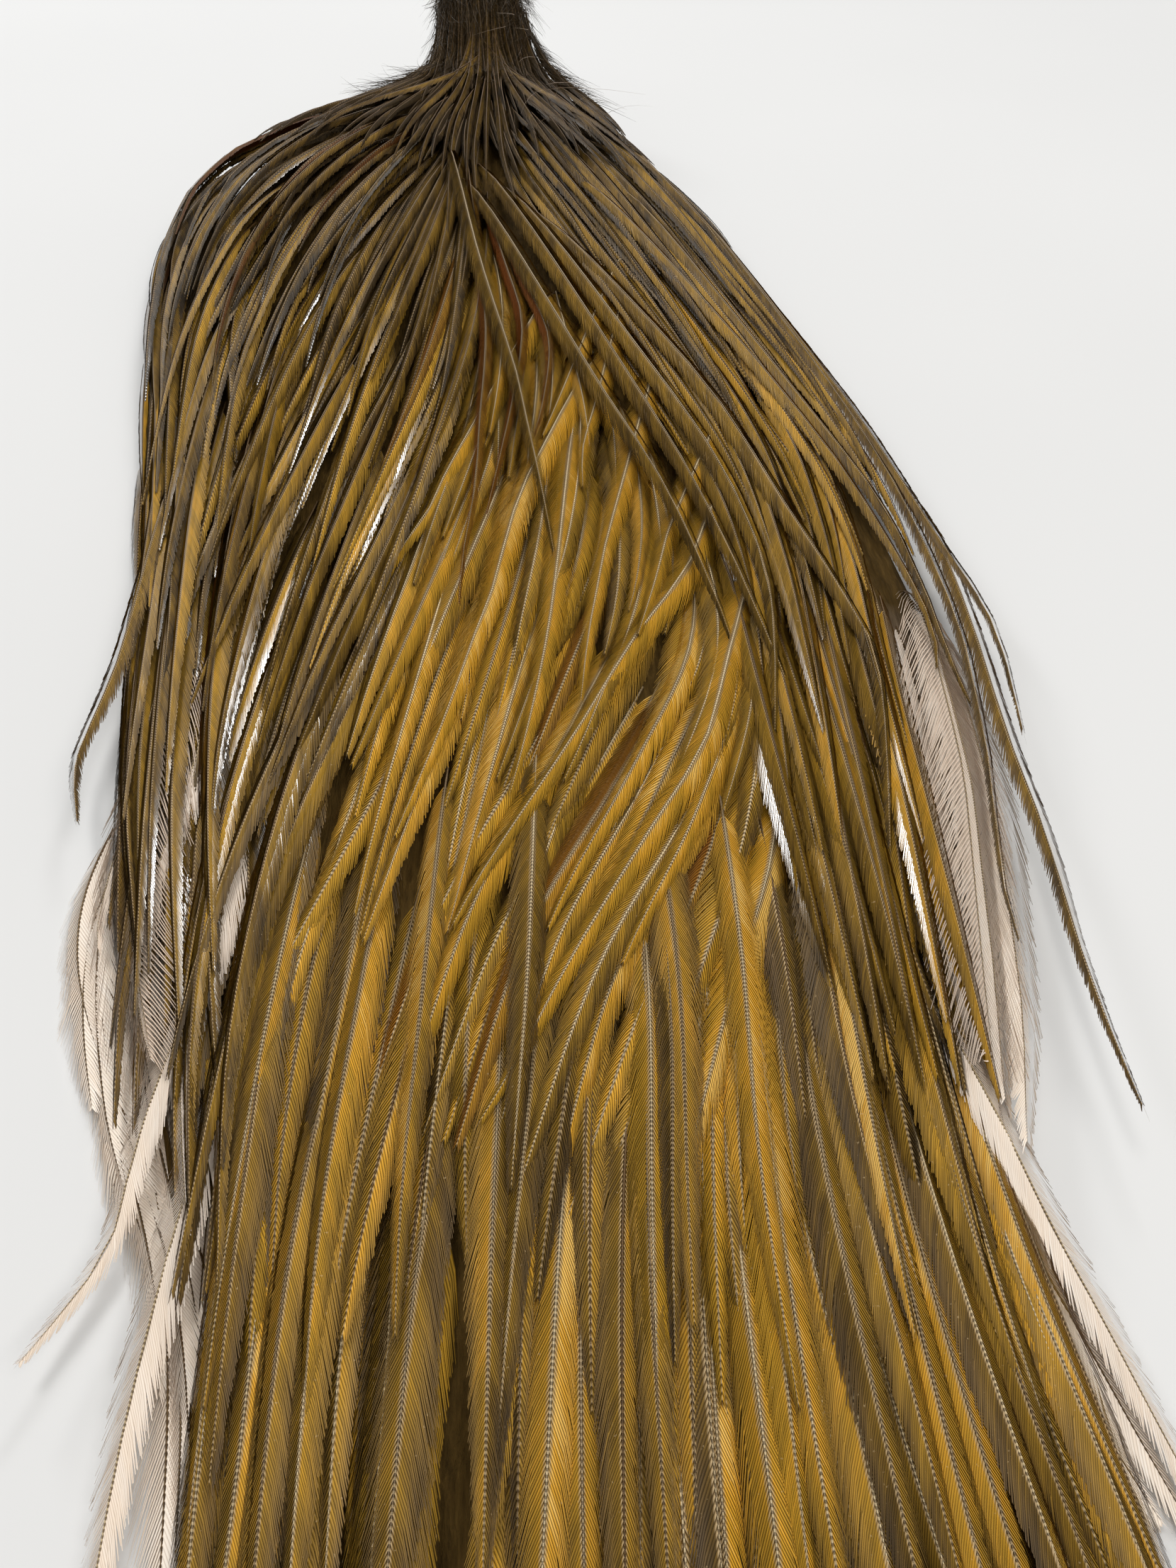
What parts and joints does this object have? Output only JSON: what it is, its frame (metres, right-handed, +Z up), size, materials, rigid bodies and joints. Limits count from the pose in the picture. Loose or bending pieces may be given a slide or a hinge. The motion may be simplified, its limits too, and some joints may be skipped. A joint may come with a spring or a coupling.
{
  "type": "rooster cape",
  "caption": "Dried rooster neck hide with its long olive-brown hackle feathers, lying flat with the feathers up.",
  "frame": {"origin": "on the hide's flat underside, under the middle of the feather mass", "axes": "+X to the cape's right as seen from the butt end, +Y from the butt to the head, +Z up through the feathers"},
  "size_m": [0.1329, 0.3518, 0.0318],
  "materials": {
    "hackle": "olive-brown and golden hackle feathers with a silky sheen",
    "crown": "short near-black feathers round the head end",
    "fluff": "pale translucent barbs and down",
    "hide": "dried hide, matte, slightly waxy"
  },
  "bodies": {
    "root": {"cape": "hackle"}
  },
  "joints": []
}
